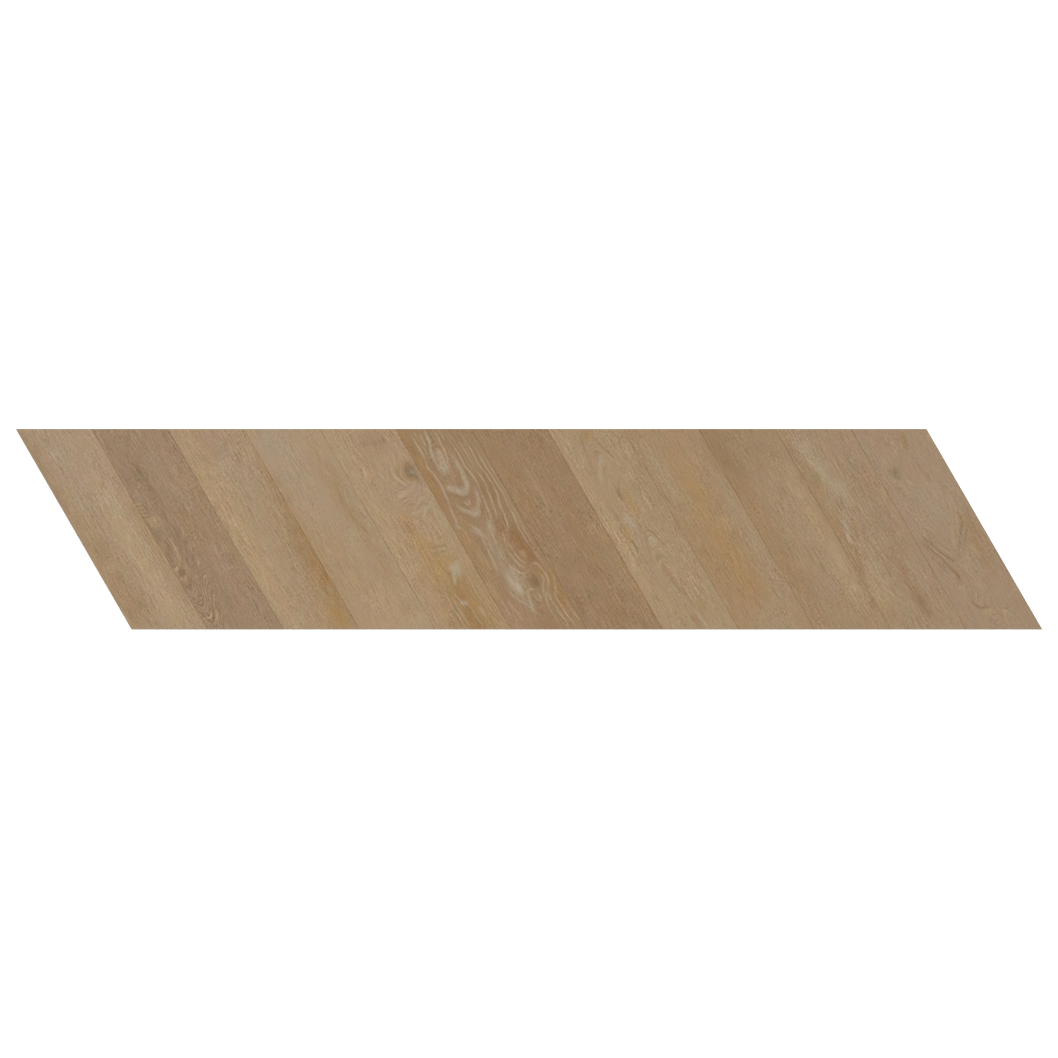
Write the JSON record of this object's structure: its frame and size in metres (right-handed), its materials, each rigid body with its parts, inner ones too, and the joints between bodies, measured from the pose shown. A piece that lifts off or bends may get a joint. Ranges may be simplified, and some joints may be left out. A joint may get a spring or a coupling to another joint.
{
  "type": "vinyl chevron plank",
  "caption": "Flat glue-down vinyl floor plank with mitred ends, printed as a row of slanting oak staves between pressed V joints, laid point to point as a chevron floor.",
  "frame": {"origin": "centre of the back, where the plank lies on the floor", "axes": "+X along the long edges, +Y across the plank, +Z out of the printed face; the far long edge (+Y) is set back towards -X"},
  "size_m": [1.1712, 0.2286, 0.0025],
  "materials": {
    "printed_vinyl": "oak print under a matt clear wear layer with a fine pressed grain; plain grey vinyl edges and back"
  },
  "bodies": {
    "root": {"chevron_plank": "printed_vinyl"}
  },
  "joints": []
}
